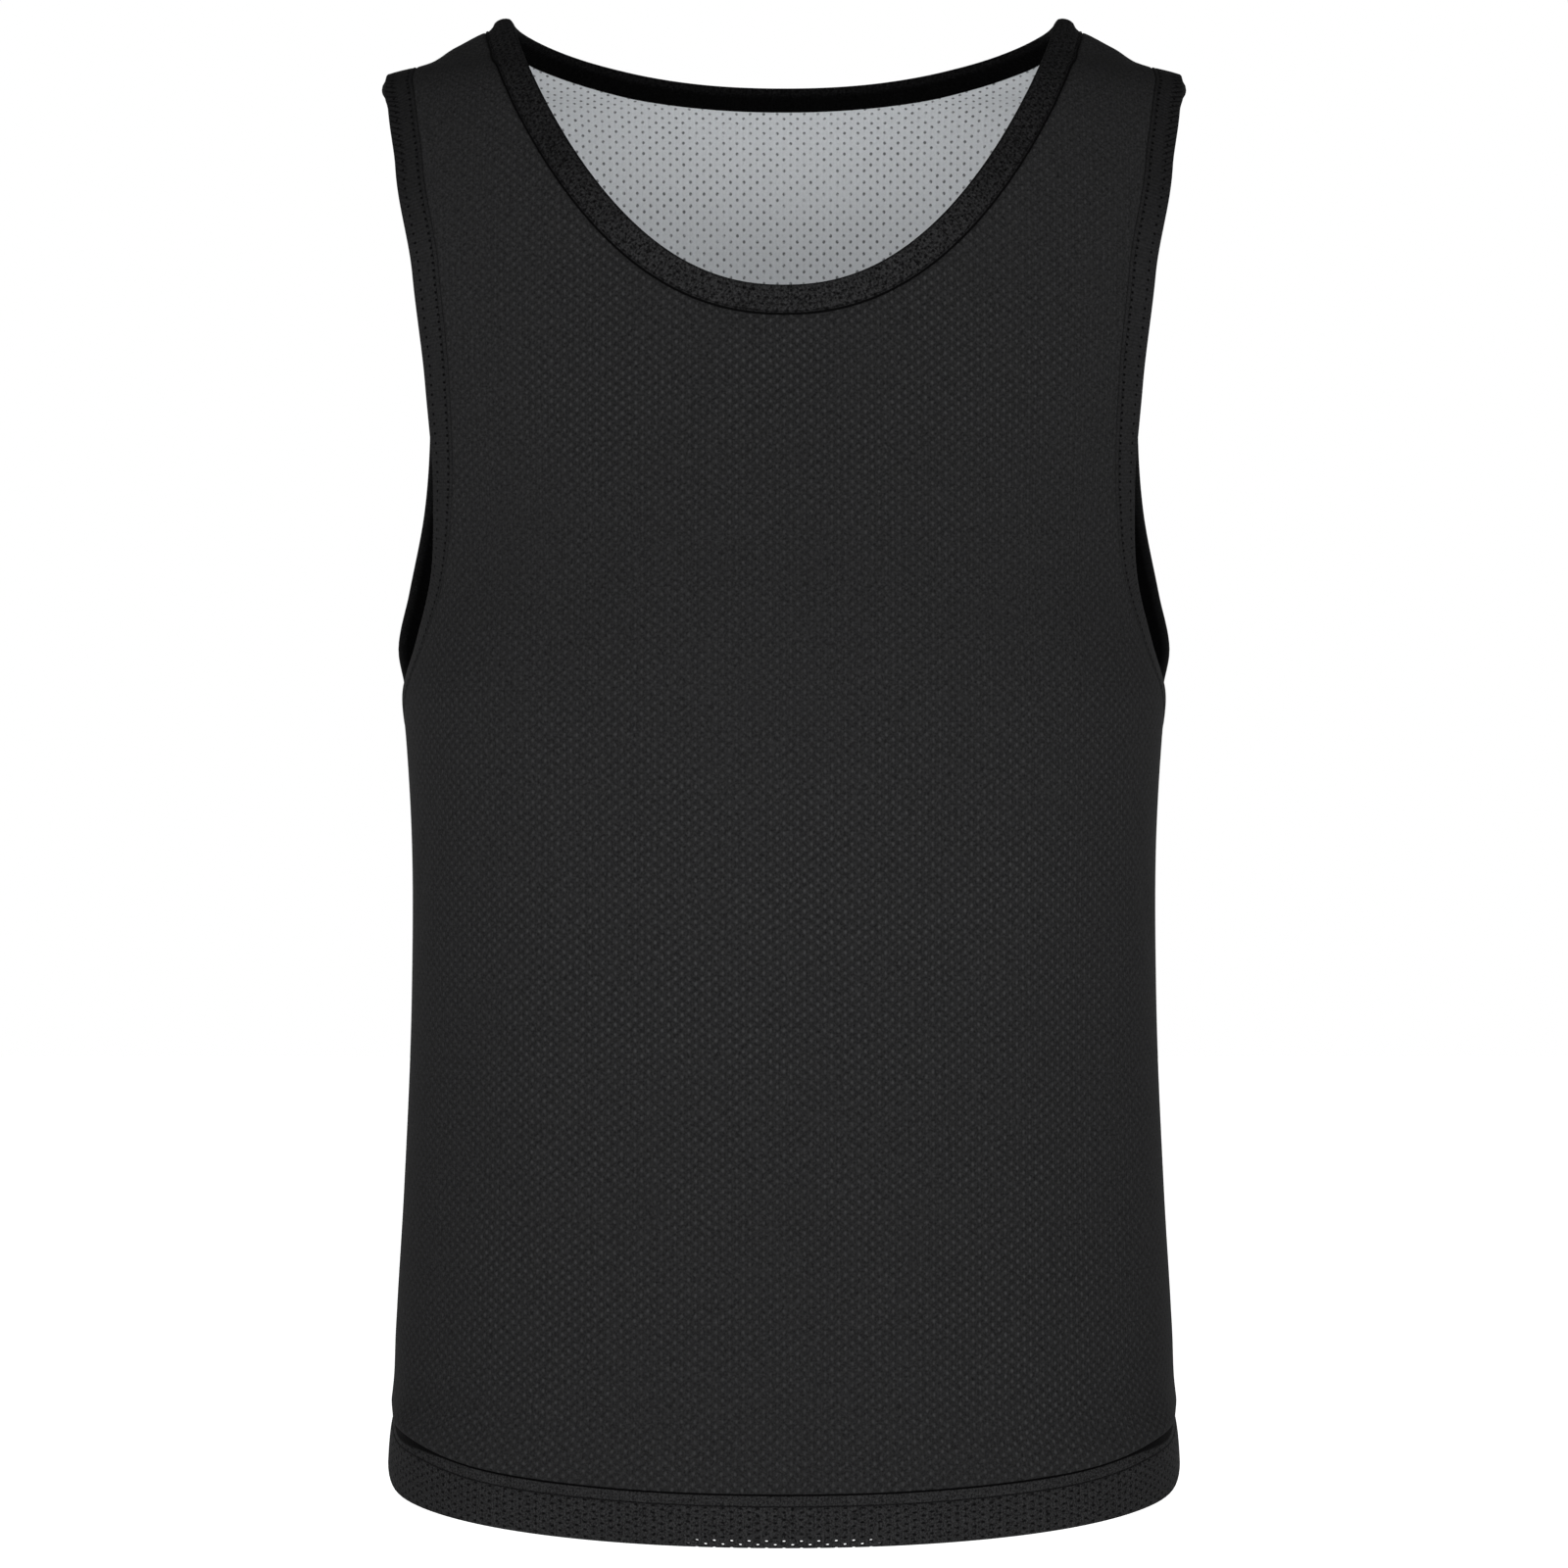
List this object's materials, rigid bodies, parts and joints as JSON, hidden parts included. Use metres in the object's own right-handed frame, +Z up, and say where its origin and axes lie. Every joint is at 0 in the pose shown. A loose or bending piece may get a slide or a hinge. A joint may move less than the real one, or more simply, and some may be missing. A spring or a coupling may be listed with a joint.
{
  "type": "training bib",
  "caption": "Sleeveless reversible training bib, black perforated mesh over white mesh, bound neck and armholes, doubled hem, filled out as worn.",
  "frame": {"origin": "between the shoulders, level with the middle of the two shoulder seams, where the wearer's shoulders hold the garment up", "axes": "+Z up from hem to neck, the front faces -Y, +X is to the right of someone who looks at the front"},
  "size_m": [0.3802, 0.2468, 0.6933],
  "materials": {
    "mesh_black": "matt black polyester knit with even round holes",
    "mesh_white": "matt white polyester knit with even round holes",
    "binding_black": "matt black fine knit binding, folded and stitched",
    "hem_black": "black perforated knit, doubled and stitched"
  },
  "bodies": {
    "root": {"front_panel": "mesh_black", "back_panel": "mesh_black", "front_lining": "mesh_white", "back_lining": "mesh_white", "neck_band": "binding_black", "armhole_band_right": "binding_black", "armhole_band_left": "binding_black", "hem_band_front": "hem_black", "hem_band_back": "hem_black"}
  },
  "joints": []
}
